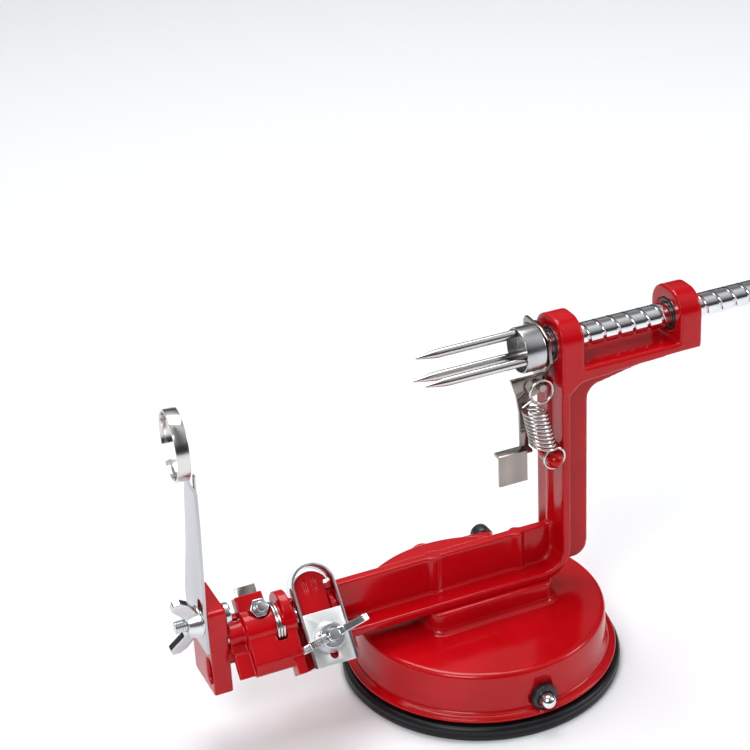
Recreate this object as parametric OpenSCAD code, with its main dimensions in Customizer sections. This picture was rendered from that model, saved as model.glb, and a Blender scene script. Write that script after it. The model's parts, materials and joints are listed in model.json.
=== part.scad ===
// Apple peeler corer on a suction base. Millimetres, +Z up, origin at the centre of the foot.
// +X runs along the feed screw towards the crank, -Y is the working side.

/* [Base] */
// radius of the rubber foot
foot_r = 55; // [45:0.5:65]
// thickness of the foot's rim
foot_rim_h = 6; // [4:0.5:8]
// radius of the drum at its top
drum_r = 48.9; // [42:0.1:56]
// height of the drum's flat top
drum_top = 25.8; // [20:0.2:32]
// radius of the drum's flange
flange_r = 53.1; // [50:0.1:58]
// wall of the drum
drum_wall = 3; // [2:0.5:5]
// height of the saddle's top, where the frame is bolted on
saddle_top = 34.2; // [30:0.2:40]

/* [Frame] */
// half width of the frame's flange
flange_half = 10.5; // [8:0.25:14]
// thickness of the frame's flange
flange_t = 3.3; // [2.5:0.1:5]
// half thickness of the frame's web
web_half = 2; // [1.5:0.25:4]
// height of the beam web's top edge
web_top = 53.4; // [48:0.2:60]
// column, face towards the fruit
column_x = 31.7; // [28:0.1:36]
// column, outer edge of the web
column_out = 47; // [42:0.5:54]
// height of the feed screw's axis
axis_z = 131; // [120:0.5:140]
// shelf under the screw, top face
shelf_z = 122.8; // [118:0.2:124]
// length of each bored lug along the screw
lug_len = 9.4; // [7:0.1:12]
// rear lug, face towards the fruit
rear_lug_x = 82; // [75:0.5:95]
// end bracket, outer face
bracket_x = -113.2; // [-120:0.1:-100]
// end bracket, thickness
bracket_t = 7.2; // [5:0.1:10]

/* [Feed screw] */
// outside radius of the screw
screw_r = 4.75; // [4:0.05:6]
// distance the screw moves in one turn
thread_pitch = 6.35; // [5:0.05:8]
// depth of the groove
thread_depth = 0.9; // [0.5:0.1:1.2]
// width of the groove
groove_w = 1.5; // [0.8:0.1:2.5]
// rear end of the threaded part
screw_end = 188; // [170:1:200]
// distance from the screw's axis to the grip's axis
crank_throw = 66; // [50:1:80]

/* [Fork] */
// ferrule, outside radius
ferrule_r = 8.8; // [7:0.1:10]
// ferrule, front edge and back face along X
ferrule_front = 18.4; // [15:0.1:22]
ferrule_back = 26.6; // [24:0.1:27]
// circle the prongs stand on
prong_circle_r = 6.4; // [5:0.1:7.5]
// radius of a prong
prong_r = 1.7; // [1.2:0.1:2]
// free tip of the prongs
prong_tip = -22; // [-35:1:-10]

/* [Blades] */
// lean of the peeling arm from upright
arm_tilt = 40; // [20:1:60]
// pivot of the peeling arm
pivot_y = -6.5; // [-10:0.5:-4]
pivot_z = 48; // [45:0.5:52]
// coring ring, outside radius and length
ring_r = 13.1; // [10:0.1:16]
ring_len = 4.8; // [3:0.1:10]
// height of the coring ring's centre
ring_z = 128; // [125:0.5:135]

/* [Hidden] */
$fn = 64;

red = [0.80, 0.03, 0.05];
steel = [0.72, 0.73, 0.75];
chrome = [0.85, 0.86, 0.88];
black = [0.05, 0.05, 0.06];

// cam shaft across the base
cam_x = 1.6;
cam_z = 12.8;
cam_r = 3;
cam_throw = 1.5;
cam_lobe_r = 4.6;

// frame corner
corner_in = 8;
beam_top = saddle_top + flange_t;
corner_cx = column_x - corner_in;
corner_cz = beam_top + corner_in;

// lugs and liners
bore_r = 6.35;
bush_r = 6.3;
bush_in = 4.8;
lug_half = 11;
lug_top = 142;

// screws between base and frame, under the beam's two ribs
screw_xs = [-19.2, 16.5];

// latch
latch_x = 27.5;
latch_t = 1.2;
latch_pin_y = 9.3;
latch_pin_z = 134;
blade_y = -2.8;
tab_y = -6;
peg = [27.2, 88.3];

// peeling arm, in its own lean: x along the pivot, y away from the plate, z up the arm
arm_cx = -70.5;
arm_front = 4.2;
arm_back = 4.2;
blade_w = 17;
bolt_up = -11;
stop_x = -92.1;
stop_up = 6.4;

// slicing arm
slicer_y0 = -9.8;
slicer_y1 = 10;
slicer_t = 1.2;
slicer_bolt_y = -6.5;
slicer_bolt_z = 58;
slicer_bolt_r = 2.4;

// ---- helpers ----
module along_y(y0, y1) translate([0, y1, 0]) rotate([90, 0, 0]) linear_extrude(y1 - y0) children();
module along_x(x0, x1) translate([x0, 0, 0]) rotate([90, 0, 90]) linear_extrude(x1 - x0) children();
module rod_x(r, x0, x1, y = 0, z = axis_z) translate([x0, y, z]) rotate([0, 90, 0]) cylinder(r = r, h = x1 - x0);
module rod_y(r, y0, y1, x = 0, z = 0) translate([x, y1, z]) rotate([90, 0, 0]) cylinder(r = r, h = y1 - y0);
module box(a, b) translate(a) cube(b - a);
module round_rect(x0, y0, x1, y1, r) {
    translate([x0 + r, y0]) square([x1 - x0 - 2 * r, y1 - y0]);
    translate([x0, y0 + r]) square([x1 - x0, y1 - y0 - 2 * r]);
    for (x = [x0 + r, x1 - r], y = [y0 + r, y1 - r]) translate([x, y]) circle(r);
}
module on_arm() translate([0, pivot_y, pivot_z]) rotate([-arm_tilt, 0, 0]) children();
module ring_shape(r, wire) rotate_extrude() translate([r, 0]) circle(wire, $fn = 16);

// ---- base ----
module rubber_cup() color(black) rotate_extrude($fn = 96) difference() {
    union() {
        square([foot_r - 1.2, 3]);
        translate([49, 0]) square([foot_r - 49 - 1.2, foot_rim_h]);
        translate([foot_r - 2, 1.2]) square([2, foot_rim_h - 2.4]);
        translate([foot_r - 1.2, 1.2]) circle(1.2, $fn = 24);
        translate([foot_r - 1.2, foot_rim_h - 1.2]) circle(1.2, $fn = 24);
    }
    translate([45, -0.01]) square([1.6, 0.7]);
}

module drum_shell() rotate_extrude($fn = 96) difference() {
    union() {
        polygon([[0, 6], [flange_r - 1, 6], [flange_r, 7], [flange_r, 8.4], [flange_r - 1, 9.2],
            [drum_r + 1.6, 9.6], [drum_r + 0.6, 10.6], [drum_r, drum_top - 1.5], [0, drum_top - 1.5]]);
        square([drum_r - 1.5, drum_top]);
        translate([drum_r - 1.5, drum_top - 1.5]) circle(1.5, $fn = 32);
    }
    translate([-1, -1]) square([drum_r - drum_wall + 1, drum_top - drum_wall + 1]);
    translate([-1, -1]) square([flange_r + 5, 7]);
}

module saddle() translate([0, 0, drum_top - 0.5]) linear_extrude(saddle_top - drum_top + 0.5)
    round_rect(-25, -13, 27, 13, 5);

module base_housing() color(red) difference() {
    union() { drum_shell(); saddle(); }
    rod_y(5.25, -60, 60, cam_x, cam_z);
    for (x = screw_xs) {
        translate([x, 0, 15]) cylinder(r = 2.3, h = 40);
    }
}

module cup_plate() color(steel) difference() {
    union() {
        translate([0, 0, 3]) cylinder(r = 20, h = 1.5);
        translate([cam_x, 0, 0]) box([-9, -4, 4.4], [9, 4, 19]);
    }
    translate([cam_x, 0, 0]) box([-6.5, -5, cam_z - cam_throw - cam_lobe_r - 0.5],
        [6.5, 5, cam_z - cam_throw + cam_lobe_r + 0.5]);
}

module bush_tube(y0, y1) difference() {
    rod_y(5.2, y0, y1, cam_x, cam_z);
    rod_y(cam_r + 0.05, y0 - 1, y1 + 1, cam_x, cam_z);
}
module cam_bush_front() color(black) bush_tube(-51.6, -43.5);
module cam_bush_rear() color(black) bush_tube(43.5, 51.6);

module cam_shaft() color(chrome) union() {
    rod_y(cam_r, -53.4, 60, cam_x, cam_z);
    intersection() {
        translate([cam_x, -53.4, cam_z]) sphere(cam_r);
        box([-10, -60, 0], [10, -53.4, 30]);
    }
    rod_y(cam_lobe_r, -3.5, 3.5, cam_x, cam_z - cam_throw);
}

module suction_lever() color(red) difference() {
    union() {
        rod_y(6.3, 53.5, 58.6, cam_x, cam_z);
        along_y(54, 58) polygon([[cam_x, cam_z - 5.4], [cam_x + 30, cam_z - 3.6],
            [cam_x + 30, cam_z + 3.6], [cam_x, cam_z + 5.4]]);
        rod_y(3.6, 54, 58, cam_x + 30, cam_z);
    }
    rod_y(cam_r + 0.05, 50, 62, cam_x, cam_z);
    rod_y(1.45, 50, 62, cam_x + 30, cam_z);
}
module lever_knob() color(black) union() {
    rod_y(1.4, 53.9, 58, cam_x + 30, cam_z);
    rod_y(4.2, 58, 64, cam_x + 30, cam_z);
}

module frame_screw(x) color(steel) union() {
    translate([x, 0, drum_top - 3.2]) cylinder(r = 2, h = 20);
    translate([x, 0, drum_top - 6.4]) cylinder(r = 4.4, h = 3.4);
}
module frame_screw_left() frame_screw(screw_xs[0]);
module frame_screw_right() frame_screw(screw_xs[1]);

// ---- frame ----
module beam_and_column() {
    along_y(-flange_half, flange_half) {
        translate([-62, saddle_top]) square([corner_cx + 62, flange_t]);
        translate([column_x, corner_cz]) square([flange_t + 0.2, 117 - corner_cz]);
        intersection() {
            difference() {
                translate([corner_cx, corner_cz]) circle(corner_in + flange_t);
                translate([corner_cx, corner_cz]) circle(corner_in);
            }
            translate([corner_cx, saddle_top - 1]) square([30, corner_cz - saddle_top + 1]);
        }
    }
    along_y(-web_half, web_half) difference() {
        union() {
            translate([-65, saddle_top + 1]) square([column_x + 66, web_top - saddle_top - 1]);
            round_rect(24, 35, column_out, 120, 6);
            translate([40, 104]) square([13, 16]);
            polygon([[52, 110], [53, 110], [62, 111.8], [76, 114.2], [90, 119], [50, 119]]);
        }
        translate([53, 104]) circle(6);
        translate([53, 98]) square([12, 12]);
        translate([-70, 30]) square([5, 30]);
    }
}
module web_trim() box([20, -3, web_top], [column_x, 3, 130]);

module ribs() {
    for (x = screw_xs) translate([x, 0, beam_top - 1]) {
        cylinder(r = 3.1, h = web_top - beam_top + 1);
    }
    along_y(-1.6, 1.6) translate([column_x - 1.2, 50]) square([2, 66]);
}

module lug(x0) difference() {
    along_x(x0, x0 + lug_len) round_rect(-lug_half, 112, lug_half, lug_top, 9.5);
    box([x0 - 1, -20, 100], [x0 + lug_len + 1, 20, shelf_z - 3.6]);
}
module shelf() along_y(-lug_half, lug_half)
    polygon([[column_x, 113.5], [column_x, shelf_z], [rear_lug_x + lug_len, shelf_z],
        [rear_lug_x + lug_len, shelf_z - 3.2], [60, 118.2], [40, 117], [36, 113.5]]);

module spring_peg() {
    rod_y(3, -12.6, -4, peg[0], peg[1]);
    translate([peg[0], -12.6, peg[1]]) sphere(3.2);
    box([peg[0], -9.4, peg[1] - 2.4], [column_x + 1, -4, peg[1] + 2.4]);
}

module end_frame() {
    along_x(bracket_x, bracket_x + bracket_t) round_rect(-10.8, 26, 11.4, 62.4, 1.5);
    box([bracket_x + 2, 0, 30.5], [-62, flange_half, beam_top]);
    box([bracket_x + 2, 6.5, 30.5], [-62, flange_half, 45.5]);
    box([-66, 0, saddle_top - 1], [-58, flange_half, 45]);
    rod_x(5.8, -65.2, -63.1, pivot_y, pivot_z);
    box([-65.2, pivot_y, 42.4], [-63.1, 1, 53]);
}

module frame_casting() color(red) difference() {
    union() {
        difference() { beam_and_column(); web_trim(); }
        ribs();
        shelf();
        lug(column_x);
        lug(rear_lug_x);
        spring_peg();
        end_frame();
    }
    rod_x(bore_r, 20, 100);
    for (x = screw_xs) translate([x, 0, 33]) cylinder(r = 2.05, h = 10);
    rod_x(3.05, -120, -50, pivot_y, pivot_z);
    // hole for the slicing arm's bolt and the open slot below it
    rod_x(slicer_bolt_r + 0.1, bracket_x - 1, bracket_x + bracket_t + 1, slicer_bolt_y, slicer_bolt_z);
    along_x(bracket_x - 1, bracket_x + bracket_t + 1) round_rect(-9.4, 30, -4, 41, 2.6);
    rod_x(1.45, column_x - 1, column_x + 5, latch_pin_y, latch_pin_z);
    // room for the peeling arm's lower end
    box([-100.2, -20, 25], [-61.9, -0.02, 41.8]);
}

module liner(x0) color(black) difference() {
    rod_x(bush_r, x0, x0 + lug_len);
    rod_x(bush_in, x0 - 1, x0 + lug_len + 1);
}
module bush_front() liner(column_x);
module bush_rear() liner(rear_lug_x);

// ---- screw, fork and crank ----
module feed_screw() color(chrome) union() {
    translate([0, 0, axis_z]) rotate([0, 90, 0]) rotate_extrude($fn = 48) difference() {
        translate([0, ferrule_back]) square([screw_r, screw_end - ferrule_back]);
        for (x = [ferrule_back + 2 : thread_pitch : screw_end - 4])
            translate([screw_r - thread_depth, x]) square([2, groove_w]);
    }
    rod_x(3.4, screw_end - 0.5, screw_end + 12);
}

module fork_ferrule() color(steel) difference() {
    rod_x(ferrule_r, ferrule_front, ferrule_back);
    rod_x(ferrule_r - 0.5, ferrule_front - 1, ferrule_back - 3.6);
}

module prong(angle) color(steel) rotate([angle, 0, 0]) union() {
    rod_x(prong_r, prong_tip + 7, ferrule_back - 3.6, 0, prong_circle_r);
    translate([prong_tip, 0, prong_circle_r]) rotate([0, 90, 0])
        cylinder(r1 = 0.35, r2 = prong_r, h = 7.01, $fn = 32);
}
module prong_top() translate([0, 0, axis_z]) prong(-15);
module prong_front() translate([0, 0, axis_z]) prong(105);
module prong_rear() translate([0, 0, axis_z]) prong(225);

module crank_arm() color(chrome) difference() {
    union() {
        rod_x(7.5, screw_end, screw_end + 8);
        along_x(screw_end + 1, screw_end + 6) {
            polygon([[-6.5, axis_z], [6.5, axis_z], [5, axis_z - crank_throw], [-5, axis_z - crank_throw]]);
            translate([0, axis_z - crank_throw]) circle(7);
        }
    }
    rod_x(3.45, screw_end - 1, screw_end + 10);
    rod_x(2.55, screw_end - 1, screw_end + 10, 0, axis_z - crank_throw);
}
module crank_nut() color(chrome) difference() {
    translate([screw_end + 8, 0, axis_z]) rotate([0, 90, 0]) cylinder(r = 5.6, h = 4.6, $fn = 6);
    rod_x(3.45, screw_end + 7, screw_end + 14);
}
module grip_pin() color(steel) union() {
    rod_x(2.5, screw_end - 1.5, screw_end + 67, 0, axis_z - crank_throw);
    rod_x(4.4, screw_end - 1.5, screw_end + 1, 0, axis_z - crank_throw);
    rod_x(4.4, screw_end + 65.2, screw_end + 67.6, 0, axis_z - crank_throw);
}
module crank_grip() color(black) translate([screw_end + 7, 0, axis_z - crank_throw]) rotate([0, 90, 0])
    rotate_extrude($fn = 64) difference() {
        union() {
            polygon([[0, 0.6], [7.2, 0.6], [8, 1.6], [8.4, 5], [10, 16], [11.4, 30], [11.6, 42],
                [10.6, 51], [8.2, 56.4], [6, 57.8], [0, 57.8]]);
        }
        square([2.6, 80]);
    }

// ---- thread latch ----
module thumb_latch() color(steel) {
    difference() {
        union() {
            along_x(latch_x, latch_x + latch_t)
                polygon([[-8.6, 127], [-6.8, 136], [-1, 138.6], [11, 138.6], [12.4, 136.6],
                    [12.4, 131.4], [8, 125.6], [3, 112.6], [blade_y, 112.6], [-5, 121.6]]);
            along_y(blade_y, blade_y + latch_t) {
                polygon([[latch_x + latch_t, 120.6], [latch_x + latch_t, 113.4], [22.6, 111.6], [21.4, 107],
                    [21.2, 91.4], [17.8, 91.4], [17.6, 106], [16.4, 113.4], [14.2, 120.6]]);
            }
            box([7.2, tab_y, 90.2], [21.2, blade_y + latch_t, 91.5]);
            box([7.2, tab_y, 78.6], [19, tab_y + latch_t, 91.4]);
            rod_y(1.5, -8.2, blade_y + 0.2, 24.8, 117.3);
        }
        rod_x(5.95, 20, 35, 0, axis_z - 0.95);
        rod_x(1.45, 20, 35, latch_pin_y, latch_pin_z);
    }
}
module latch_pin() color(steel) union() {
    rod_x(1.4, latch_x - 0.75, column_x + 4.8, latch_pin_y, latch_pin_z);
    rod_x(2.4, latch_x - 0.75, latch_x - 0.15, latch_pin_y, latch_pin_z);
    rod_x(2.4, latch_x + latch_t + 0.15, column_x, latch_pin_y, latch_pin_z);
}

module latch_spring() color(steel) {
    top = [24.8, -6.6, 115.4];
    translate(top) rotate([90, 0, 0]) ring_shape(4.1, 0.55, $fn = 32);
    for (i = [0 : 9]) translate([19.9 + 0.22 * i, -8.6 - 0.28 * i, 109 - 1.55 * i])
        rotate([0, 10, 0]) ring_shape(4.4, 0.55, $fn = 32);
    translate([peg[0] + 0.3, -11.2, peg[1] + 0.3]) rotate([90, 0, 0]) ring_shape(4.3, 0.55, $fn = 32);
}

// ---- peeling arm ----
module peeling_arm() color(red) difference() {
    on_arm() union() {
        rod_x(4.6, -105.5, -80, 0, 0);
        rod_x(7, -99.4, -80, 0, 0);
        // ear that carries the stop screw
        box([-99.4, -3, -4], [-88.7, 3, 12.6]);
        // cheek beside the blade
        along_x(-84.6, -80.8) {
            translate([-5, -21]) square([7, 21]);
            translate([0.6, 3]) circle(8.4);
        }
        // lower body, faceted
        along_x(-99.4, -80.8) polygon([[-5.6, -4.6], [0, -4.6], [0, -17.5], [-3.4, -17.5], [-5.6, -13.6]]);
        box([-105.5, -3, -16.8], [-99, 0, -7.6]);
        box([-105.5, -1.2, -8], [-99, 1.2, -3]);
        // carrier behind the blade
        box([arm_cx - 7.6, -arm_front, -20.6], [arm_cx + blade_w / 2 - 0.9, arm_back, 0]);
        box([-81, -0.2, -20.6], [arm_cx, arm_back, 0]);
        along_y(-arm_front, arm_back) round_rect(arm_cx - 7.2, -14, arm_cx + 7.2, 14.6, 7.19);
    }
    rod_x(3.1, -120, -50, pivot_y, pivot_z);
    // groove the torsion spring sits in
    difference() {
        rod_x(9, -88.69, -84.61, pivot_y, pivot_z);
        rod_x(7, -90, -84, pivot_y, pivot_z);
    }
    // clears the lug that holds the pin's far end
    rod_x(10.8, -65.4, -50, pivot_y, pivot_z);
    on_arm() {
        translate([stop_x, 10, stop_up]) rotate([90, 0, 0]) cylinder(r = 2.05, h = 20);
        translate([arm_cx, 10, bolt_up]) rotate([90, 0, 0]) cylinder(r = 2.55, h = 20);
        // seats for the stop nut and the catch leaf
        translate([stop_x, -3, stop_up]) rotate([90, 0, 0]) cylinder(r = 4.1, h = 8);
        box([-97.1, 2.95, -0.1], [-88.6, 9, 9]);
        for (x = [-73.2, -69.6]) box([x, -arm_front - 1, 6.4], [x + 1, -arm_front + 0.8, 12]);
    }
}
module arm_pin() color(steel) rod_x(3, bracket_x + 0.4, -63.2, pivot_y, pivot_z);

module arm_spring() color(steel) on_arm() {
    for (i = [0 : 1]) translate([-87.4 + 1.5 * i, 0, 0]) rotate([0, 90, 0]) ring_shape(7.7, 0.6, $fn = 40);
}

module stop_screw() color(steel) on_arm() union() {
    translate([stop_x, 7.4, stop_up]) rotate([90, 0, 0]) cylinder(r = 2, h = 16.6);
    translate([stop_x, 9, stop_up]) rotate([90, 0, 0]) cylinder(r = 3.2, h = 1.8);
}
module stop_nut() color(steel) on_arm() difference() {
    translate([stop_x, -3, stop_up]) rotate([90, 0, 0]) cylinder(r = 3.8, h = 3.2, $fn = 6);
    translate([stop_x, 0, stop_up]) rotate([90, 0, 0]) cylinder(r = 2.05, h = 20);
}
module catch_leaf() color(steel) on_arm() difference() {
    box([-97, 3, 0], [-88.9, 3.9, 16.4]);
    translate([stop_x, 10, stop_up]) rotate([90, 0, 0]) cylinder(r = 2.05, h = 20);
}

module peel_blade() color(steel) on_arm() difference() {
    blade_strip();
    // notch in both cheeks, round the pivot pin
    rod_x(3.3, -120, -50, 0, 0);
}
module blade_strip() {
    half = blade_w / 2;
    along_y(-8, -0.4) difference() {
        translate([arm_cx, 8.6]) circle(half);
        translate([arm_cx, 8.6]) circle(half - 0.9);
        translate([arm_cx - 10, -20]) square([20, 28.9]);
    }
    box([arm_cx - half, -8, -21], [arm_cx - half + 0.9, -0.4, 9]);
    box([arm_cx + half - 0.9, -8, -21], [arm_cx + half, -0.4, 9]);
}
module blade_plate() color(steel) on_arm() difference() {
    box([arm_cx - 7.5, -7.9, -21.2], [arm_cx + 7.5, -6.8, -1.1]);
    translate([arm_cx, 0, bolt_up]) rotate([90, 0, 0]) cylinder(r = 2.6, h = 20);
    along_y(-9, -5) round_rect(arm_cx - 1.6, -19.2, arm_cx + 1.6, -15, 1.59);
}
module blade_bolt() color(steel) on_arm() translate([arm_cx, 0, bolt_up]) rotate([90, 0, 0]) union() {
    translate([0, 0, -arm_back]) cylinder(r = 2.5, h = 15.6 + arm_back);
    translate([0, 0, -arm_back - 1.8]) cylinder(r = 4.4, h = 1.8);
}
module wing_nut_shape(bore) difference() {
    union() {
        cylinder(r1 = 6.2, r2 = 4.6, h = 5);
        for (s = [-1, 1]) rotate([90, 0, 0]) translate([0, 0, -1.4]) linear_extrude(2.8)
            polygon([[0, 0.4], [s * 5, 0.4], [s * 12, 4.6], [s * 14, 7.4], [s * 13.6, 10.2], [s * 11.2, 11],
                [s * 4.6, 5.6], [0, 5]]);
    }
    translate([0, 0, -1]) cylinder(r = bore, h = 30);
}
module peel_wing_nut() color(chrome) on_arm() translate([arm_cx, -7.95, bolt_up]) rotate([90, 0, 0])
    rotate([0, 0, 12]) wing_nut_shape(2.56);

// ---- slicing arm ----
module slicer_outline() polygon([[slicer_y0, 45], [slicer_y1, 45], [slicer_y1, 62], [6, 85],
    [3.8, 112], [3.8, ring_z - ring_r - 0.2], [-6.6, ring_z - ring_r - 0.2], [-8.4, 100], [slicer_y0, 72]]);
module slicer_arm() color(steel) difference() {
    union() {
        along_x(bracket_x - slicer_t, bracket_x) slicer_outline();
        along_x(bracket_x - slicer_t, bracket_x) difference() {
            translate([-6.6, ring_z - ring_r - 3]) square([10.4, 5]);
            translate([0, ring_z]) circle(ring_r + 0.05);
        }
    }
    along_x(bracket_x - 3, bracket_x + 2)
        round_rect(slicer_bolt_y - 2.6, slicer_bolt_z - 6, slicer_bolt_y + 2.6, slicer_bolt_z + 9, 2.59);
}
module corer_ring() color(steel) translate([bracket_x - 2.2, 0, ring_z]) rotate([0, 0, -5]) difference() {
    rod_x(ring_r, -ring_len / 2, ring_len / 2, 0, 0);
    rod_x(ring_r - 0.9, -10, 10, 0, 0);
    // the strip it is rolled from leaves a gap
    rotate([-38, 0, 0]) box([-10, 8, -2.9], [10, 16, 2.9]);
}
module slicer_bolt() color(steel) union() {
    rod_x(slicer_bolt_r, bracket_x - 11.5, bracket_x + bracket_t, slicer_bolt_y, slicer_bolt_z);
    rod_x(4.2, bracket_x + bracket_t, bracket_x + bracket_t + 2.2, slicer_bolt_y, slicer_bolt_z);
}
module slicer_washer() color(steel) difference() {
    rod_x(4.6, bracket_x - slicer_t - 1, bracket_x - slicer_t, slicer_bolt_y, slicer_bolt_z);
    rod_x(slicer_bolt_r + 0.1, bracket_x - 10, bracket_x, slicer_bolt_y, slicer_bolt_z);
}
module slicer_wing_nut() color(chrome) translate([bracket_x - slicer_t - 1, slicer_bolt_y, slicer_bolt_z])
    rotate([0, -90, 0]) rotate([0, 0, -18]) wing_nut_shape(slicer_bolt_r + 0.06);

rubber_cup();
base_housing();
cup_plate();
cam_bush_front();
cam_bush_rear();
cam_shaft();
suction_lever();
lever_knob();
frame_screw_left();
frame_screw_right();
frame_casting();
bush_front();
bush_rear();
feed_screw();
fork_ferrule();
prong_top();
prong_front();
prong_rear();
crank_arm();
crank_nut();
grip_pin();
crank_grip();
thumb_latch();
latch_pin();
latch_spring();
peeling_arm();
arm_pin();
arm_spring();
stop_screw();
stop_nut();
catch_leaf();
peel_blade();
blade_plate();
blade_bolt();
peel_wing_nut();
slicer_arm();
corer_ring();
slicer_bolt();
slicer_washer();
slicer_wing_nut();
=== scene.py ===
import json
import math

import bmesh
import bpy
from mathutils import Matrix, Vector

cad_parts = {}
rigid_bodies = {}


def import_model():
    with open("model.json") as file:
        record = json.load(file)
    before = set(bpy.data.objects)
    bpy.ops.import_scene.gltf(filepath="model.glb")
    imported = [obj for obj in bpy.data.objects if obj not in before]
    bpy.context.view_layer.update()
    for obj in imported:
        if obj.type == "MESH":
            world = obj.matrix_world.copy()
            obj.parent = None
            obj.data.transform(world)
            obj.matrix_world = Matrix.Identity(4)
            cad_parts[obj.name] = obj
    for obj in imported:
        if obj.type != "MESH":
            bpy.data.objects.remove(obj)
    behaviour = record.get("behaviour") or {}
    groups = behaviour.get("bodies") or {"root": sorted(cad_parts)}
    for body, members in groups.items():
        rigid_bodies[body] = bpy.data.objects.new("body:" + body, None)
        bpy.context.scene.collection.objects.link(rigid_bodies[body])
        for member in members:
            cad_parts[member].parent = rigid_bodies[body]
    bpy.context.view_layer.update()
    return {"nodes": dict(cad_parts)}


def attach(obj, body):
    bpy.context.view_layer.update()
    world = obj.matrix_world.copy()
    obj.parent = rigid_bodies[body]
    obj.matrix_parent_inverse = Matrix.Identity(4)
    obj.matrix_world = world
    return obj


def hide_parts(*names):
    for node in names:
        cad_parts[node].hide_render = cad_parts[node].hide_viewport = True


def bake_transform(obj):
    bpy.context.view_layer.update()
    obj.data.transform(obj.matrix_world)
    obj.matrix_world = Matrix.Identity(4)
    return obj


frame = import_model()
nodes = frame["nodes"]
mm = 0.001
print("frame loaded,", len(nodes), "parts")

finishes = {
    "redEnamel": {"low": (0.44, 0.0012, 0.004), "high": (0.54, 0.0022, 0.007),
                  "tone": 45, "rough": (0.09, 0.17),
                  "grain": 300, "bump": 0.05, "metal": 0.0, "gloss": 0.32},
    "polishedSteel": {"low": (0.60, 0.58, 0.56), "high": (0.74, 0.73, 0.71),
                      "tone": 90, "rough": (0.10, 0.22),
                      "grain": 900, "bump": 0.03, "metal": 1.0, "stretch": (0.12, 1, 1)},
    "sheetSteel": {"low": (0.44, 0.44, 0.45), "high": (0.60, 0.60, 0.61), "tone": 70, "rough": (0.16, 0.30),
                   "grain": 700, "bump": 0.05, "metal": 1.0, "stretch": (1, 1, 0.1)},
    "latchSteel": {"low": (0.26, 0.22, 0.20), "high": (0.42, 0.37, 0.34), "tone": 80, "rough": (0.12, 0.24),
                   "grain": 700, "bump": 0.04, "metal": 1.0, "stretch": (1, 1, 0.15)},
    "brightSteel": {"low": (0.84, 0.84, 0.85), "high": (0.93, 0.93, 0.93),
                    "tone": 70, "rough": (0.42, 0.54),
                    "grain": 700, "bump": 0.04, "metal": 1.0, "stretch": (1, 1, 0.1)},
    "chrome": {"low": (0.74, 0.75, 0.77), "high": (0.86, 0.87, 0.88), "tone": 120, "rough": (0.05, 0.12),
               "grain": 500, "bump": 0.015, "metal": 1.0},
    "zincPlate": {"low": (0.62, 0.64, 0.66), "high": (0.78, 0.79, 0.80), "tone": 160, "rough": (0.14, 0.28),
                  "grain": 800, "bump": 0.05, "metal": 1.0},
    "blackRubber": {"low": (0.0035, 0.0038, 0.005), "high": (0.008, 0.0085, 0.010),
                    "tone": 90, "rough": (0.30, 0.44),
                    "grain": 900, "bump": 0.06, "metal": 0.0, "gloss": 0.32},
    "blackPlastic": {"low": (0.010, 0.010, 0.013), "high": (0.024, 0.023, 0.030),
                     "tone": 110, "rough": (0.28, 0.42),
                     "grain": 800, "bump": 0.05, "metal": 0.0},
}


def finishMaterial(name, look):
    material = bpy.data.materials.new(name)
    material.use_nodes = True
    tree = material.node_tree
    shader = tree.nodes["Principled BSDF"]
    place = tree.nodes.new("ShaderNodeTexCoord")
    scale = tree.nodes.new("ShaderNodeMapping")
    scale.inputs["Scale"].default_value = look.get("stretch", (1, 1, 1))  # grain drawn out
    tree.links.new(place.outputs["Object"], scale.inputs["Vector"])

    tone = tree.nodes.new("ShaderNodeTexNoise")
    tone.inputs["Scale"].default_value = look["tone"]
    tone.inputs["Detail"].default_value = 3
    tree.links.new(scale.outputs["Vector"], tone.inputs["Vector"])
    ramp = tree.nodes.new("ShaderNodeValToRGB")
    ramp.color_ramp.elements[0].position = 0.3
    ramp.color_ramp.elements[0].color = (*look["low"], 1)
    ramp.color_ramp.elements[1].position = 0.7
    ramp.color_ramp.elements[1].color = (*look["high"], 1)
    tree.links.new(tone.outputs["Fac"], ramp.inputs["Fac"])
    tree.links.new(ramp.outputs["Color"], shader.inputs["Base Color"])

    grain = tree.nodes.new("ShaderNodeTexNoise")
    grain.inputs["Scale"].default_value = look["grain"]
    grain.inputs["Detail"].default_value = 2
    tree.links.new(scale.outputs["Vector"], grain.inputs["Vector"])
    rough = tree.nodes.new("ShaderNodeMapRange")
    rough.inputs["To Min"].default_value = look["rough"][0]
    rough.inputs["To Max"].default_value = look["rough"][1]
    tree.links.new(tone.outputs["Fac"], rough.inputs["Value"])
    tree.links.new(rough.outputs["Result"], shader.inputs["Roughness"])
    bump = tree.nodes.new("ShaderNodeBump")
    bump.inputs["Strength"].default_value = look["bump"]
    bump.inputs["Distance"].default_value = 0.0004
    tree.links.new(grain.outputs["Fac"], bump.inputs["Height"])
    tree.links.new(bump.outputs["Normal"], shader.inputs["Normal"])

    shader.inputs["Metallic"].default_value = look["metal"]
    shader.inputs["Specular IOR Level"].default_value = look.get("gloss", 0.5)
    return material


finish = {name: finishMaterial(name, look) for name, look in finishes.items()}
print("finishes made")


def newPiece(name, mesh, body, look, stands=()):
    piece = bpy.data.objects.new(name, mesh)
    bpy.context.scene.collection.objects.link(piece)
    mesh.materials.clear()
    mesh.materials.append(finish[look])
    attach(piece, body)
    if stands:
        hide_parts(*stands)
    return piece


def meshFrom(bm, name, creaseDeg=40):
    mesh = bpy.data.meshes.new(name)
    bm.to_mesh(mesh)
    bm.free()
    mesh.polygons.foreach_set("use_smooth", [True] * len(mesh.polygons))
    mesh.set_sharp_from_angle(angle=math.radians(creaseDeg))
    return mesh


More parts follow.
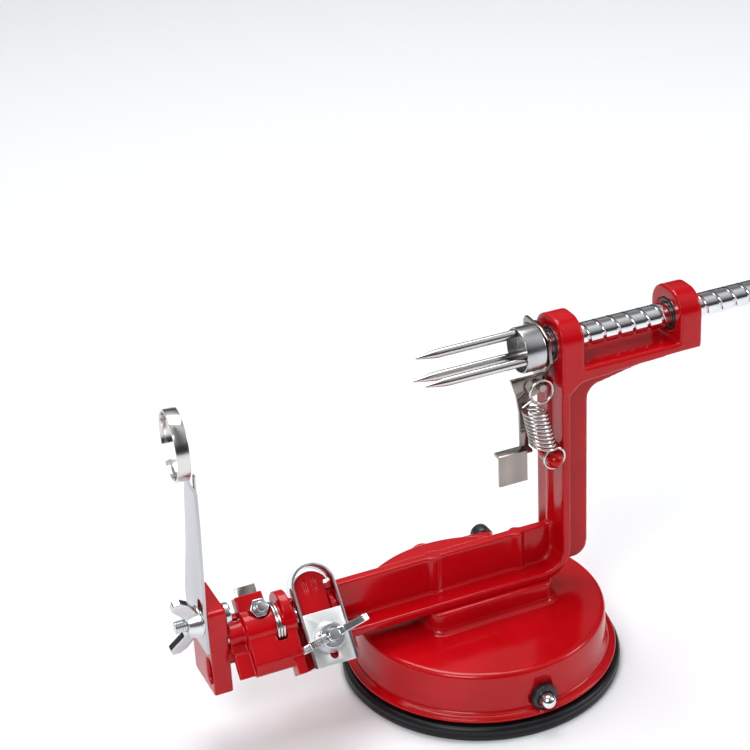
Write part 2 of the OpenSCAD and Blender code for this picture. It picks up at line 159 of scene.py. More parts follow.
def mergedCopy(node):
    bm = bmesh.new()
    bm.from_mesh(nodes[node].data)
    bmesh.ops.remove_doubles(bm, verts=bm.verts, dist=2e-6)
    return bm


def settled(mesh, name, addModifiers):
    work = bpy.data.objects.new(name + "Work", mesh)
    bpy.context.scene.collection.objects.link(work)
    addModifiers(work)
    bpy.context.view_layer.update()
    result = bpy.data.meshes.new_from_object(work.evaluated_get(bpy.context.evaluated_depsgraph_get()))
    result.name = name
    bpy.data.objects.remove(work)
    return result


def softCast(node, name, voxel, passes):  # a cast surface: every edge gets a small fillet
    def modifiers(work):
        remesh = work.modifiers.new("skin", "REMESH")
        remesh.mode = "VOXEL"
        remesh.voxel_size = voxel
        remesh.use_smooth_shade = True
        smooth = work.modifiers.new("fillet", "SMOOTH")
        smooth.factor = 0.5
        smooth.iterations = passes
    return settled(meshFrom(mergedCopy(node), node + "Merged"), name, modifiers)


def softEdges(node, name, width, segments=2):  # sheet and machined parts: a fine rounded edge
    bm = mergedCopy(node)
    bmesh.ops.dissolve_limit(bm, angle_limit=math.radians(0.6), verts=bm.verts, edges=bm.edges)

    def modifiers(work):
        bevel = work.modifiers.new("edge", "BEVEL")
        bevel.width = width
        bevel.segments = segments
        bevel.limit_method = "ANGLE"
        bevel.angle_limit = math.radians(38)
        bevel.harden_normals = False
    mesh = settled(meshFrom(bm, node + "Merged", 30), name, modifiers)
    mesh.polygons.foreach_set("use_smooth", [True] * len(mesh.polygons))
    mesh.set_sharp_from_angle(angle=math.radians(50))
    return mesh


def roundedPath(points, steps=5):  # (a, b, corner radius) -> points with each corner rounded
    path = []
    for i, (a, b, radius) in enumerate(points):
        here = Vector((a, b))
        if radius == 0 or i in (0, len(points) - 1):
            path.append(here)
            continue
        before = (Vector(points[i - 1][:2]) - here)
        after = (Vector(points[i + 1][:2]) - here)
        reach = min(radius, before.length * 0.49, after.length * 0.49)
        start = here + before.normalized() * reach
        end = here + after.normalized() * reach
        for step in range(steps + 1):
            t = step / steps
            path.append(start * (1 - t) ** 2 + here * 2 * t * (1 - t) + end * t * t)
    return path


def inMm(points):
    return [tuple(number * mm for number in point) for point in points]


def turned(path, around=96):  # path of (radius, height) turned about Z
    bm = bmesh.new()
    rings = []
    for radius, height in path:
        if radius < 1e-7:
            rings.append([bm.verts.new((0, 0, height))])
        else:
            rings.append([bm.verts.new((radius * math.cos(2 * math.pi * k / around),
                                        radius * math.sin(2 * math.pi * k / around), height))
                          for k in range(around)])
    for low, high in zip(rings, rings[1:]):
        for k in range(around):
            n = (k + 1) % around
            corners = [low[k % len(low)], low[n % len(low)], high[n % len(high)], high[k % len(high)]]
            unique = list(dict.fromkeys(corners))
            if len(unique) > 2:
                bm.faces.new(unique)
    bmesh.ops.recalc_face_normals(bm, faces=bm.faces)
    return bm


def along(axis, place):  # turns a part made about Z onto another axis
    turn = Vector((0, 0, 1)).rotation_difference(Vector(axis)).to_matrix().to_4x4()
    return Matrix.Translation(Vector(place)) @ turn


class Tree:
    def __init__(self, name, inputs):
        self.group = bpy.data.node_groups.new(name, "GeometryNodeTree")
        self.ids = {}
        for label, kind in inputs:
            item = self.group.interface.new_socket(label, in_out="INPUT", socket_type=kind)
            self.ids[label] = item.identifier
        self.group.interface.new_socket("Geometry", in_out="OUTPUT", socket_type="NodeSocketGeometry")
        self.start = self.group.nodes.new("NodeGroupInput")
        self.end = self.group.nodes.new("NodeGroupOutput")

    def node(self, kind, links=(), **settings):
        made = self.group.nodes.new(kind)
        for key, value in settings.items():
            setattr(made, key, value)
        for socket, source in dict(links).items():
            target = made.inputs[socket]
            if isinstance(source, bpy.types.NodeSocket):
                self.group.links.new(source, target)
            else:
                target.default_value = source
        return made.outputs

    def math(self, operation, a, b=0.0):
        return self.node("ShaderNodeMath", {0: a, 1: b}, operation=operation)[0]

    def value(self, label):
        return self.start.outputs[label]

    def finish(self, geometry):
        real = self.node("GeometryNodeRealizeInstances", {0: geometry})[0]
        painted = self.node("GeometryNodeSetMaterial",
                            {"Geometry": real, "Material": self.value("Material")})[0]
        self.group.links.new(painted, self.end.inputs[0])


def fromTree(tree, name, look, values):
    mesh = bpy.data.meshes.new(name + "Seed")
    work = bpy.data.objects.new(name + "Work", mesh)
    bpy.context.scene.collection.objects.link(work)
    modifier = work.modifiers.new("build", "NODES")
    modifier.node_group = tree.group
    for label, value in values.items():
        modifier[tree.ids[label]] = value
    modifier[tree.ids["Material"]] = finish[look]
    bpy.context.view_layer.update()
    result = bpy.data.meshes.new_from_object(work.evaluated_get(bpy.context.evaluated_depsgraph_get()))
    result.name = name
    work.modifiers.clear()
    bpy.data.objects.remove(work)
    return result


flankSteepness = 4.5  # how fast the groove wall falls, in groove depths over its width


def threadTree():  # a sheet wrapped round the axis one pitch out of step, so its rows follow the helix
    tree = Tree("threadTree", [("Rows", "NodeSocketInt"), ("Around", "NodeSocketInt"),
                               ("Steps", "NodeSocketFloat"),
                               ("Start", "NodeSocketFloat"), ("Pitch", "NodeSocketFloat"),
                               ("Radius", "NodeSocketFloat"), ("Depth", "NodeSocketFloat"),
                               ("Groove", "NodeSocketFloat"), ("Material", "NodeSocketMaterial")])
    rows = tree.value("Rows")
    grid = tree.node("GeometryNodeMeshGrid", {"Size X": tree.math("SUBTRACT", rows, 1.0), "Size Y": 1.0,
                                              "Vertices X": rows, "Vertices Y": tree.value("Around")})["Mesh"]
    spot = tree.node("ShaderNodeSeparateXYZ", {0: tree.node("GeometryNodeInputPosition")[0]})
    turn = tree.math("ADD", spot["Y"], 0.5)
    row = tree.math("ADD", spot["X"], tree.math("MULTIPLY", tree.math("SUBTRACT", rows, 1.0), 0.5))
    lap = tree.math("DIVIDE", row, tree.value("Steps"))
    phase = tree.math("FRACT", tree.math("ADD", lap, 0.0005))
    share = tree.math("DIVIDE", tree.value("Groove"), tree.value("Pitch"))
    inside = tree.math("MINIMUM", phase, tree.math("SUBTRACT", share, phase))
    flank = tree.math("MULTIPLY", tree.math("DIVIDE", inside, share), flankSteepness)
    cut = tree.math("MINIMUM", tree.math("MAXIMUM", flank, 0.0), 1.0)
    depth = tree.math("MULTIPLY", cut, tree.value("Depth"))
    radius = tree.math("SUBTRACT", tree.value("Radius"), depth)
    angle = tree.math("MULTIPLY", turn, 2 * math.pi)
    x = tree.math("ADD", tree.value("Start"),
                  tree.math("MULTIPLY", tree.math("ADD", lap, turn), tree.value("Pitch")))
    y = tree.math("MULTIPLY", radius, tree.math("COSINE", angle))
    z = tree.math("MULTIPLY", radius, tree.math("SINE", angle))
    spots = tree.node("ShaderNodeCombineXYZ", {0: x, 1: y, 2: z})[0]
    wrapped = tree.node("GeometryNodeSetPosition", {"Geometry": grid, "Position": spots})[0]
    joined = tree.node("GeometryNodeMergeByDistance", {"Geometry": wrapped, "Distance": 0.00002})[0]
    tree.finish(joined)
    return tree


def coilTree():  # round wire wound into a helix about Z
    tree = Tree("coilTree", [("Turns", "NodeSocketFloat"), ("Height", "NodeSocketFloat"),
                             ("Radius", "NodeSocketFloat"), ("End Radius", "NodeSocketFloat"),
                             ("Wire", "NodeSocketFloat"), ("Steps", "NodeSocketInt"),
                             ("Material", "NodeSocketMaterial")])
    spiral = tree.node("GeometryNodeCurveSpiral",
                       {"Resolution": tree.value("Steps"), "Rotations": tree.value("Turns"),
                        "Start Radius": tree.value("Radius"), "End Radius": tree.value("End Radius"),
                        "Height": tree.value("Height")})[0]
    wire = tree.node("GeometryNodeCurvePrimitiveCircle",
                     {"Resolution": 12, "Radius": tree.value("Wire")})[0]
    tube = tree.node("GeometryNodeCurveToMesh",
                     {"Curve": spiral, "Profile Curve": wire, "Fill Caps": True})[0]
    tree.finish(tree.node("GeometryNodeSetShadeSmooth", {0: tube})[0])
    return tree


def boltTree():  # screws and bolts: a shank with rings of thread, repeated along it
    tree = Tree("boltTree", [("Radius", "NodeSocketFloat"), ("Length", "NodeSocketFloat"),
                             ("Pitch", "NodeSocketFloat"), ("Material", "NodeSocketMaterial")])
    count = tree.math("FLOOR", tree.math("DIVIDE", tree.value("Length"), tree.value("Pitch")))
    spine = tree.node("GeometryNodeMeshLine", {"Count": count, "Offset": tree.node(
        "ShaderNodeCombineXYZ", {2: tree.value("Pitch")})[0]}, mode="OFFSET")[0]
    half = tree.math("MULTIPLY", tree.value("Pitch"), 0.5)
    root = tree.math("MULTIPLY", tree.value("Radius"), 0.86)
    ridge = tree.node("GeometryNodeMeshCone", {"Vertices": 24, "Radius Top": root,
                                               "Radius Bottom": tree.value("Radius"), "Depth": half})[0]
    valley = tree.node("GeometryNodeMeshCone", {"Vertices": 24, "Radius Top": tree.value("Radius"),
                                                "Radius Bottom": root, "Depth": half})[0]
    valley = tree.node("GeometryNodeTransform", {"Geometry": valley, "Translation": tree.node(
        "ShaderNodeCombineXYZ", {2: half})[0]})[0]
    pair = tree.node("GeometryNodeJoinGeometry")
    joinNode = tree.group.nodes[-1]
    for part in (ridge, valley):
        tree.group.links.new(part, joinNode.inputs[0])
    rings = tree.node("GeometryNodeInstanceOnPoints", {"Points": spine, "Instance": pair[0]})[0]
    tree.finish(rings)
    return tree


thread, coil, bolt = threadTree(), coilTree(), boltTree()
print("node trees built")


base = {"flangeR": 53.1, "drumR": 48.9, "bottom": 7.0, "top": 25.8, "wall": 3.0,
        "saddle": (-25, 27, 13), "saddleTop": 34.2, "saddleCorner": 5,
        "camX": 1.6, "camZ": 12.8, "bushHole": 5.22, "boreHalf": 65}


def baseDrum():
    flangeR, drumR, bottom, top = base["flangeR"], base["drumR"], base["bottom"], base["top"]
    innerR, roof = drumR - base["wall"], top - base["wall"]
    outline = [(innerR, bottom, 0), (flangeR - 0.6, bottom, 0.3), (flangeR, 7.7, 0.6), (flangeR, 8.6, 0.7),
               (flangeR - 1.2, 9.4, 0.9), (drumR + 1.3, 9.9, 1.8), (drumR + 0.3, 13.5, 2), (drumR, top, 2.4),
               (0, top, 0)]
    outer = roundedPath(inMm(outline), 7)
    inner = roundedPath(inMm([(0, roof, 0), (innerR, roof, 1), (innerR, bottom, 0)]), 4)
    drum = meshFrom(turned(outer + inner[:-1], 192), "baseDrumShell", 40)

    hole, boreLength = base["bushHole"] * mm, 2 * base["boreHalf"] * mm
    cutter = turned([(0, 0), (hole, 0), (hole, boreLength), (0, boreLength)], 64)
    cutter.transform(along((0, 1, 0), (base["camX"] * mm, -base["boreHalf"] * mm, base["camZ"] * mm)))
    cutterMesh = meshFrom(cutter, "shaftBore")
    cutterObject = bpy.data.objects.new("shaftBore", cutterMesh)
    bpy.context.scene.collection.objects.link(cutterObject)

    def modifiers(work):
        cut = work.modifiers.new("bore", "BOOLEAN")
        cut.operation = "DIFFERENCE"
        cut.object = cutterObject
        cut.solver = "EXACT"
    mesh = settled(drum, "baseDrum", modifiers)
    bpy.data.objects.remove(cutterObject)
    return mesh


def saddleBlock():
    left, right, half = base["saddle"]
    low, high, corner = base["top"], base["saddleTop"], base["saddleCorner"]
    levels = [(low - 0.6, 2.6), (low, 2.4), (low + 0.5, 1.2), (low + 1.3, 0.45), (low + 2.6, 0.0),
              (high - 0.9, 0.0), (high - 0.3, -0.25), (high, -0.9)]  # height, how far it flares
    bm = bmesh.new()
    rings = []
    for z, grow in levels:
        ring = []
        radius = corner + grow
        for cx, cy, start in ((right - corner, half - corner, 0), (left + corner, half - corner, 90),
                              (left + corner, -half + corner, 180), (right - corner, -half + corner, 270)):
            for step in range(9):
                angle = math.radians(start + step * 90 / 8)
                ring.append(bm.verts.new(((cx + radius * math.cos(angle)) * mm,
                                          (cy + radius * math.sin(angle)) * mm, z * mm)))
        rings.append(ring)
    for under, over in zip(rings, rings[1:]):
        for k in range(len(under)):
            n = (k + 1) % len(under)
            bm.faces.new((under[k], under[n], over[n], over[k]))
    bm.faces.new(rings[-1])
    bm.faces.new(list(reversed(rings[0])))
    return meshFrom(bm, "saddleBlock", 45)


newPiece("baseDrum", baseDrum(), "frame", "redEnamel", ["base_housing"])
newPiece("saddleBlock", saddleBlock(), "frame", "redEnamel")

foot = {"r": 55.0, "rim": 6.0, "step": 50.2, "seat": 3.0,
        "grooveIn": 45.0, "grooveOut": 46.6, "grooveTop": 0.7}
footPath = [(0, foot["seat"], 0), (foot["step"], foot["seat"], 0.4), (foot["step"], 5.2, 0.4),
            (foot["step"] + 1.0, foot["rim"], 0.6),
            (foot["r"] - 1.0, foot["rim"], 1.4), (foot["r"], 4.3, 1.2), (foot["r"] - 0.7, 3.1, 0.5),
            (foot["r"] - 0.2, 1.8, 0.8), (foot["r"] - 0.9, 0.0, 0.8),
            (foot["grooveOut"], 0.0, 0), (foot["grooveOut"], foot["grooveTop"], 0.1),
            (foot["grooveIn"], foot["grooveTop"], 0.1), (foot["grooveIn"], 0.0, 0), (0, 0.0, 0)]
footMesh = meshFrom(turned(roundedPath(inMm(footPath), 6), 192), "rubberFoot", 50)
newPiece("rubberFoot", footMesh, "frame", "blackRubber", ["rubber_cup"])
print("base done")

castings = {"frame_casting": ("frameCasting", "frame", 0.58, 7),  # piece, body, voxel, smoothing passes
            "peeling_arm": ("peelingArm", "arm", 0.32, 6),
            "suction_lever": ("suctionLever", "lever", 0.35, 6)}
for node, (name, body, voxel, passes) in castings.items():
    newPiece(name, softCast(node, name, voxel * mm, passes), body, "redEnamel", [node])
print("castings done")

screw = {"front": 26.6, "rear": 188.0, "radius": 4.75, "pitch": 6.35, "depth": 1.0, "groove": 1.4,
         "steps": 24, "around": 49, "axis": 131.0, "endR": 3.4, "endLength": 12.5}


def feedScrew():
    turns = math.ceil((screw["rear"] - screw["front"]) / screw["pitch"]) + 2
    mesh = fromTree(thread, "feedScrewThread", "chrome", {
        "Rows": turns * screw["steps"] + 1, "Around": screw["around"], "Steps": float(screw["steps"]),
        "Start": (screw["front"] - 1.5 * screw["pitch"]) * mm, "Pitch": screw["pitch"] * mm,
        "Radius": screw["radius"] * mm, "Depth": screw["depth"] * mm, "Groove": screw["groove"] * mm})
    bm = bmesh.new()
    bm.from_mesh(mesh)
    for x, side in ((screw["front"], -1), (screw["rear"], 1)):
        geometry = bm.verts[:] + bm.edges[:] + bm.faces[:]
        bmesh.ops.bisect_plane(bm, geom=geometry, plane_co=(x * mm, 0, 0), plane_no=(side, 0, 0),
                               clear_outer=True)
        rim = [edge for edge in bm.edges if edge.is_boundary and
               all(abs(v.co.x - x * mm) < 1e-6 for v in edge.verts)]
        bmesh.ops.contextual_create(bm, geom=rim)
    bmesh.ops.recalc_face_normals(bm, faces=bm.faces)
    bm.transform(Matrix.Translation((0, 0, screw["axis"] * mm)))
    endR, endLength = screw["endR"], screw["endLength"]
    end = turned(roundedPath(inMm([(0, 0, 0), (endR, 0, 0), (endR, endLength, 0.6), (0, endLength, 0)])), 48)
    end.transform(along((1, 0, 0), ((screw["rear"] - 0.5) * mm, 0, screw["axis"] * mm)))
    endMesh = meshFrom(end, "screwEnd")
    bm.from_mesh(endMesh)
    return meshFrom(bm, "feedScrew", 32)


newPiece("feedScrew", feedScrew(), "screw", "chrome", ["feed_screw"])

ferrule = {"front": 18.4, "r": 8.8, "wall": 0.55, "deep": 4.6, "long": 8.2}
ferruleInner = ferrule["r"] - ferrule["wall"]
ferrulePath = [(0, ferrule["deep"], 0), (ferruleInner, ferrule["deep"], 0.4), (ferruleInner, 0, 0.1),
               (ferrule["r"] - 0.05, 0, 0.2), (ferrule["r"], 0.5, 0.2), (ferrule["r"], ferrule["long"], 0.8),
               (0, ferrule["long"], 0)]
ferruleMesh = meshFrom(turned(roundedPath(inMm(ferrulePath), 5), 128), "forkFerrule")
ferruleMesh.transform(along((1, 0, 0), (ferrule["front"] * mm, 0, screw["axis"] * mm)))
newPiece("forkFerrule", ferruleMesh, "screw", "sheetSteel", ["fork_ferrule"])

prong = {"tip": -22.0, "back": 23.0, "r": 1.7, "circle": 6.4, "taper": 8.0, "pointR": 0.35,
         "angles": {"prong_top": -15, "prong_front": 105, "prong_rear": 225}}
prongLength = prong["back"] - prong["tip"]
for node, angle in prong["angles"].items():
    path = roundedPath(inMm([(0, 0, 0), (prong["pointR"], 0.05, 0.1), (prong["r"], prong["taper"], 1.5),
                             (prong["r"], prongLength, 0), (0, prongLength, 0)]), 6)
    part = turned(path, 40)
    part.transform(along((1, 0, 0), (prong["tip"] * mm, 0, prong["circle"] * mm)))
    around = Matrix.Rotation(math.radians(angle), 4, "X")
    part.transform(Matrix.Translation((0, 0, screw["axis"] * mm)) @ around)
    name = "prong" + node.split("_")[1].title()
    newPiece(name, meshFrom(part, name, 50), "screw", "polishedSteel", [node])
print("screw and fork done")

pull = {"top": (21.0, -8.6, 109.0), "step": (0.22, -0.28, -1.55), "turns": 9.4, "coilR": 4.4, "wire": 0.55,
        "lean": 10, "topHook": (24.8, -6.6, 115.4), "topR": 4.7, "topSpin": 200,
        "lowHook": (27.5, -11.2, 88.6), "lowR": 4.3, "lowSpin": 40}


def wireLink(a, b, wire):  # the straight bit of wire between the last turn and its hook
    bm = turned([(0, 0), (wire, 0), (wire, (b - a).length), (0, (b - a).length)], 12)
    bm.transform(along(b - a, a))
    return meshFrom(bm, "springLink")


def latchSpring():
    rings = bmesh.new()
    turns = pull["turns"]
    drop = -pull["step"][2]
    height = drop * turns
    body = fromTree(coil, "springBody", "polishedSteel",
                    {"Turns": turns, "Height": height * mm, "Radius": pull["coilR"] * mm,
                     "End Radius": pull["coilR"] * mm, "Wire": pull["wire"] * mm, "Steps": 36})
    start = Vector(pull["top"]) + Vector(pull["step"]) * (turns - 0.3)
    shear = Matrix.Identity(4)
    shear[0][2] = -pull["step"][0] / drop  # the coils walk towards the peg as they go down
    shear[1][2] = -pull["step"][1] / drop
    tilt = Matrix.Rotation(math.radians(pull["lean"]), 4, "Y")
    flat = Matrix.Identity(4)
    flat[2][0] = tilt[2][0]  # only the coils lean, not the spring's axis
    stand = Matrix.Translation(start * mm) @ shear @ flat
    body.transform(stand)
    rings.from_mesh(body)
    lastTurn = 2 * math.pi * turns
    coilR = pull["coilR"]
    topEnd = stand @ (Vector((coilR * math.cos(lastTurn), coilR * math.sin(lastTurn), height)) * mm)
    lowEnd = stand @ Vector((coilR * mm, 0, 0))
    for hook, size, spin, end in ((pull["topHook"], pull["topR"], pull["topSpin"], topEnd),
                                  (pull["lowHook"], pull["lowR"], pull["lowSpin"], lowEnd)):
        middle = Vector(hook) * mm
        reach = end - middle
        reach.y = 0
        joint = middle + reach.normalized() * size * mm
        rings.from_mesh(wireLink(end, joint, pull["wire"] * mm))
        loop = fromTree(coil, "springHook", "polishedSteel",
                        {"Turns": 1.0, "Height": 0.5 * mm, "Radius": size * mm, "End Radius": size * mm,
                         "Wire": pull["wire"] * mm, "Steps": 40})
        loop.transform(Matrix.Rotation(math.radians(spin), 4, "Z"))
        loop.transform(along((0, -1, 0), Vector(hook) * mm))
        rings.from_mesh(loop)
    bmesh.ops.recalc_face_normals(rings, faces=rings.faces)
    return meshFrom(rings, "latchSpring", 60)


spring = bpy.data.objects.new("latchSpring", latchSpring())
bpy.context.scene.collection.objects.link(spring)
spring.data.materials.clear()
spring.data.materials.append(finish["polishedSteel"])
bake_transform(spring)
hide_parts("latch_spring")

armPivot = {"y": -6.5, "z": 48, "tilt": -40}
armFrame = (Matrix.Translation((0, armPivot["y"] * mm, armPivot["z"] * mm))
            @ Matrix.Rotation(math.radians(armPivot["tilt"]), 4, "X"))
twist = {"turns": 2.2, "height": 2.4, "coilR": 7.75, "wire": 0.5, "x": -88.0}
armCoil = fromTree(coil, "armSpring", "polishedSteel",
                   {"Turns": twist["turns"], "Height": twist["height"] * mm, "Radius": twist["coilR"] * mm,
                    "End Radius": twist["coilR"] * mm, "Wire": twist["wire"] * mm, "Steps": 48})
armCoil.transform(along((1, 0, 0), (twist["x"] * mm, 0, 0)))
armCoil.transform(armFrame)
newPiece("armSpring", armCoil, "arm", "polishedSteel", ["arm_spring"])
print("springs done")

wingVoxel, wingPasses = 0.24, 5
for node, name, body in (("peel_wing_nut", "bladeWingNut", "blade_nut"),
                         ("slicer_wing_nut", "slicerWingNut", "slicer_nut")):
    newPiece(name, softCast(node, name, wingVoxel * mm, wingPasses), body, "zincPlate", [node])

shanks = {
    "slicer_bolt": {"name": "slicerBolt", "body": "frame", "start": (-124.7, -6.5, 58), "axis": (1, 0, 0),
                    "r": 2.4, "length": 9.6, "shank": 18.7, "head": (4.2, 2.2), "tilted": False},
    "blade_bolt": {"name": "bladeBolt", "body": "arm", "start": (-70.5, -15.6, -11), "axis": (0, 1, 0),
                   "r": 2.5, "length": 8.8, "shank": 19.8, "head": (4.4, 1.8), "tilted": True},
}
boltPitch, threadLift, coreShare = 0.8, 0.2, 0.88
for node, spec in shanks.items():
    shank = fromTree(bolt, spec["name"] + "Thread", "zincPlate",
                     {"Radius": spec["r"] * mm, "Length": spec["length"] * mm, "Pitch": boltPitch * mm})
    shank.transform(Matrix.Translation((0, 0, threadLift * mm)))
    core, tall, (headR, headT) = spec["r"] * coreShare, spec["shank"], spec["head"]
    bm = turned(roundedPath(inMm([
        (0, 0, 0), (core, 0, 0.4), (core, spec["length"], 0), (spec["r"], spec["length"] + 0.3, 0),
        (spec["r"], tall, 0.1), (headR, tall, 0.2), (headR, tall + headT, 0.8), (0, tall + headT, 0)])), 40)
    bm.from_mesh(shank)
    bm.transform(along(spec["axis"], Vector(spec["start"]) * mm))
    if spec["tilted"]:
        bm.transform(armFrame)
    newPiece(spec["name"], meshFrom(bm, spec["name"], 20), spec["body"], "zincPlate", [node])
print("nuts and bolts done")

fine = {  # node: piece, body, finish, edge radius
    "thumb_latch": ("thumbLatch", "latch", "latchSteel", 0.22),
    "latch_pin": ("latchPin", "frame", "latchSteel", 0.2),
    "corer_ring": ("corerRing", "slicer", "polishedSteel", 0.16),
    "slicer_washer": ("slicerWasher", "frame", "zincPlate", 0.15),
    "peel_blade": ("peelBlade", "arm", "chrome", 0.14),
    "blade_plate": ("bladePlate", "arm", "brightSteel", 0.16),
    "stop_screw": ("stopScrew", "arm", "zincPlate", 0.3),
    "stop_nut": ("stopNut", "arm", "zincPlate", 0.3),
    "catch_leaf": ("catchLeaf", "arm", "latchSteel", 0.15),
    "arm_pin": ("armPin", "frame", "polishedSteel", 0.3),
    "cam_shaft": ("camShaft", "lever", "chrome", 0.35),
    "cam_bush_front": ("camBushFront", "frame", "blackPlastic", 0.5),
    "cam_bush_rear": ("camBushRear", "frame", "blackPlastic", 0.5),
    "cup_plate": ("cupPlate", "stud", "polishedSteel", 0.3),
    "bush_front": ("bushFront", "sleeve", "blackPlastic", 0.25),
    "bush_rear": ("bushRear", "sleeve", "blackPlastic", 0.25),
    "crank_arm": ("crankArm", "screw", "chrome", 0.8),
    "crank_nut": ("crankNut", "screw", "zincPlate", 0.35),
    "grip_pin": ("gripPin", "screw", "polishedSteel", 0.4),
    "crank_grip": ("crankGrip", "grip", "blackPlastic", 0.7),
    "lever_knob": ("leverKnob", "lever", "blackPlastic", 0.8),
    "frame_screw_left": ("frameScrewLeft", "frame", "zincPlate", 0.4),
    "frame_screw_right": ("frameScrewRight", "frame", "zincPlate", 0.4),
}
for node, (name, body, look, width) in fine.items():
    newPiece(name, softEdges(node, name, width * mm), body, look, [node])

strip = {"leanFrom": 63.0, "leanTo": 111.0, "lean": 2.0, "backAt": 115.5, "cuts": 24,
         "tab": [(-112.1, 108.5), (-111.9, 112.0), (-111.9, 115.0), (-111.7, 117.6)], "tabY": (-6.6, -4.8),
         "tabT": 0.7, "tabEdge": 0.15}


def bentStrip():  # the strip leans in towards the fork, then steps back just below the coring ring
    bm = mergedCopy("slicer_arm")
    bmesh.ops.dissolve_limit(bm, angle_limit=math.radians(0.6), verts=bm.verts, edges=bm.edges)
    for i in range(strip["cuts"]):
        z = strip["leanFrom"] + (strip["backAt"] - strip["leanFrom"]) * i / (strip["cuts"] - 1)
        bmesh.ops.bisect_plane(bm, geom=bm.verts[:] + bm.edges[:] + bm.faces[:],
                               plane_co=(0, 0, z * mm), plane_no=(0, 0, 1))
    for vert in bm.verts:
        z = vert.co.z / mm
        rise = min(max((z - strip["leanFrom"]) / (strip["leanTo"] - strip["leanFrom"]), 0.0), 1.0)
        fall = min(max((z - strip["leanTo"]) / (strip["backAt"] - strip["leanTo"]), 0.0), 1.0)
        vert.co.x += strip["lean"] * mm * (rise - fall * fall * (3 - 2 * fall))
    return meshFrom(bm, "slicerArm", 35)


def ringTab():
    bm = bmesh.new()
    rows = []
    for x, z in strip["tab"]:
        rows.append([bm.verts.new(((x + side) * mm, y * mm, z * mm)) for side, y in
                     ((0, strip["tabY"][0]), (0, strip["tabY"][1]), (strip["tabT"], strip["tabY"][1]),
                      (strip["tabT"], strip["tabY"][0]))])
    for low, high in zip(rows, rows[1:]):
        for k in range(4):
            bm.faces.new((low[k], low[(k + 1) % 4], high[(k + 1) % 4], high[k]))
    bm.faces.new(list(reversed(rows[0])))
    bm.faces.new(rows[-1])
    bmesh.ops.recalc_face_normals(bm, faces=bm.faces)

    def modifiers(work):
        bevel = work.modifiers.new("edge", "BEVEL")
        bevel.width = strip["tabEdge"] * mm
        bevel.segments = 2
    return settled(meshFrom(bm, "ringTabPlain"), "ringTab", modifiers)


newPiece("slicerArm", bentStrip(), "slicer", "sheetSteel", ["slicer_arm"])
newPiece("ringTab", ringTab(), "slicer", "sheetSteel")
print("sheet and machined parts done")

studio = {"floor": (0.93, 0.94, 0.96), "world": 1.12, "aim": (0, 0, 0.08),
          "lights": [("keyBox", (-0.75, -0.70, 1.05), 0.55, 7.5),  # name, place, size, power
                     ("topBox", (0.10, 0.45, 1.30), 0.8, 11.0),
                     ("sideBox", (1.00, -0.45, 0.60), 0.4, 3.5)],
          "sky": [(0.0, 0.50), (0.44, 0.45), (0.52, 0.05),  # height, brightness
                  (0.66, 0.14), (0.76, 0.50), (1.0, 0.80)],
          "sectors": 3, "darkest": 0.25}


def paleFloor():
    bm = bmesh.new()
    bmesh.ops.create_grid(bm, x_segments=8, y_segments=8, size=4.0)
    mesh = meshFrom(bm, "paleFloor")
    material = bpy.data.materials.new("paleFloor")
    material.use_nodes = True
    shader = material.node_tree.nodes["Principled BSDF"]
    shader.inputs["Base Color"].default_value = (*studio["floor"], 1)
    shader.inputs["Roughness"].default_value = 0.75
    mesh.materials.append(material)
    floor = bpy.data.objects.new("paleFloor", mesh)
    bpy.context.scene.collection.objects.link(floor)


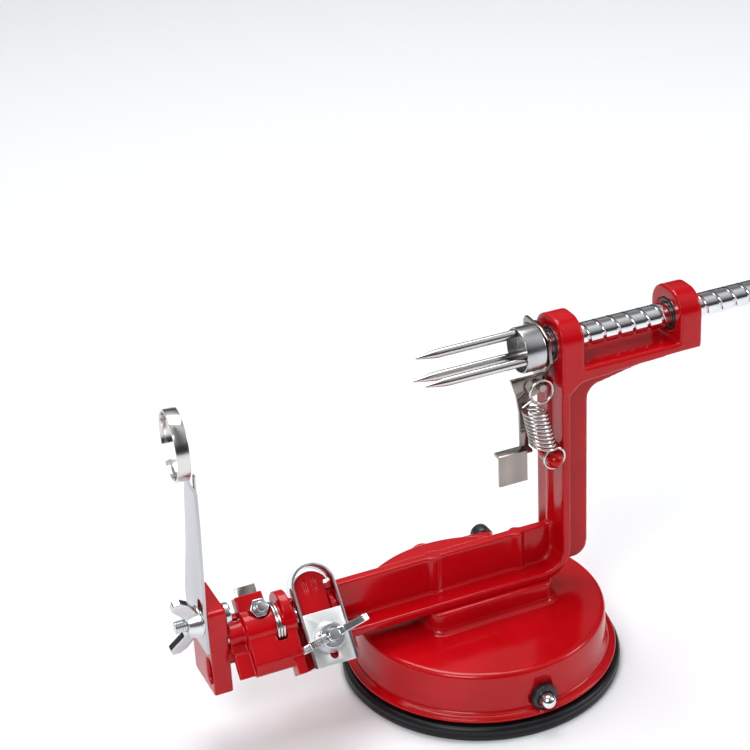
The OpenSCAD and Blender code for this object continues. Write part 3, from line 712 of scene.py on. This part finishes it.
def studioLight():
    world = bpy.data.worlds.new("studio")
    world.use_nodes = True
    tree = world.node_tree
    way = tree.nodes.new("ShaderNodeTexCoord")
    split = tree.nodes.new("ShaderNodeSeparateXYZ")
    height = tree.nodes.new("ShaderNodeMapRange")
    height.inputs["From Min"].default_value = -1
    ramp = tree.nodes.new("ShaderNodeValToRGB")
    tree.links.new(way.outputs["Generated"], split.inputs[0])
    tree.links.new(split.outputs["Z"], height.inputs["Value"])
    tree.links.new(height.outputs["Result"], ramp.inputs["Fac"])
    around = tree.nodes.new("ShaderNodeTexGradient")
    around.gradient_type = "RADIAL"
    tree.links.new(way.outputs["Generated"], around.inputs["Vector"])
    wave = tree.nodes.new("ShaderNodeMath")
    wave.operation = "MULTIPLY"
    wave.inputs[1].default_value = 2 * math.pi * studio["sectors"]
    tree.links.new(around.outputs["Fac"], wave.inputs[0])
    swing = tree.nodes.new("ShaderNodeMath")
    swing.operation = "SINE"
    tree.links.new(wave.outputs[0], swing.inputs[0])
    shade = tree.nodes.new("ShaderNodeMapRange")
    shade.inputs["From Min"].default_value = -1
    shade.inputs["To Min"].default_value = studio["darkest"]
    tree.links.new(swing.outputs[0], shade.inputs["Value"])
    dim = tree.nodes.new("ShaderNodeVectorMath")
    dim.operation = "SCALE"
    tree.links.new(ramp.outputs["Color"], dim.inputs[0])
    tree.links.new(shade.outputs["Result"], dim.inputs["Scale"])
    tree.links.new(dim.outputs[0], tree.nodes["Background"].inputs["Color"])
    for i, (at, level) in enumerate(studio["sky"]):
        stop = ramp.color_ramp.elements[i] if i < 2 else ramp.color_ramp.elements.new(at)
        stop.position = at
        stop.color = (level * 0.96, level * 0.98, level, 1)
    tree.nodes["Background"].inputs["Strength"].default_value = studio["world"]
    bpy.context.scene.world = world
    for name, place, size, power in studio["lights"]:
        light = bpy.data.lights.new(name, "AREA")
        light.size = size
        light.energy = power
        lamp = bpy.data.objects.new(name, light)
        lamp.location = place
        lamp.rotation_euler = (Vector(studio["aim"]) - Vector(place)).to_track_quat("-Z", "Y").to_euler()
        bpy.context.scene.collection.objects.link(lamp)


camera = {"place": (-0.285625, -0.590015, 0.471907), "lens": 96.88,
          "right": (0.91184, -0.40791, -0.04648), "up": (0.22776, 0.40844, 0.88391),
          "back": (-0.34157, -0.81657, 0.46534)}


def productCamera():
    data = bpy.data.cameras.new("productCamera")
    data.lens = camera["lens"]
    data.sensor_width = 36
    data.clip_start = 0.01
    eye = bpy.data.objects.new("productCamera", data)
    turn = Matrix((camera["right"], camera["up"], camera["back"])).transposed().to_4x4()
    eye.matrix_world = Matrix.Translation(camera["place"]) @ turn
    bpy.context.scene.collection.objects.link(eye)
    bpy.context.scene.camera = eye


paleFloor()
studioLight()
productCamera()
bpy.context.scene.view_settings.view_transform = "Standard"
print("studio done")
